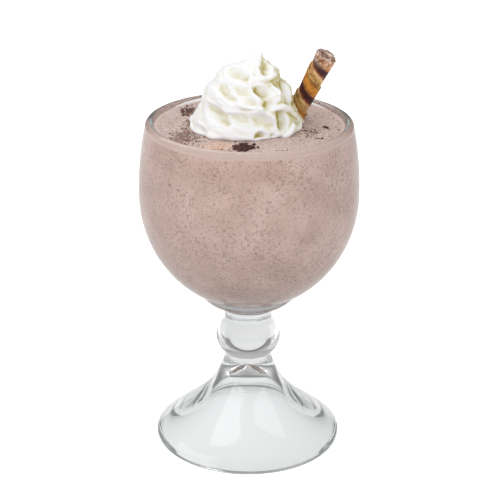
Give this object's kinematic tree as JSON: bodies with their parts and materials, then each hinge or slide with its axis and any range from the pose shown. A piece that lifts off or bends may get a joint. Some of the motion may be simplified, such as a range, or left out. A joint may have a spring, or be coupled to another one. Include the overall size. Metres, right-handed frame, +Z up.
{
  "type": "milkshake",
  "caption": "Footed clear-glass goblet filled to just under its lip with chocolate milkshake, topped with a piped swirl of whipped cream and a rolled wafer pushed in at a slant.",
  "frame": {"origin": "on the table, on the goblet's axis under the middle of its foot", "axes": "+Z up along the goblet's axis, +X to the right as pictured with the wafer leaning right, -Y towards the viewer"},
  "size_m": [0.118, 0.118, 0.2215],
  "materials": {
    "clear_glass": "clear, pressed, polished",
    "milkshake": "thick foamy shake with dark chocolate crumbs",
    "whipped_cream": "soft satin white cream",
    "wafer": "golden baked wafer with a dark brown screw stripe"
  },
  "bodies": {
    "root": {"goblet": "clear_glass", "milkshake": "milkshake", "whipped_cream": "whipped_cream", "wafer_roll": "wafer"}
  },
  "joints": []
}
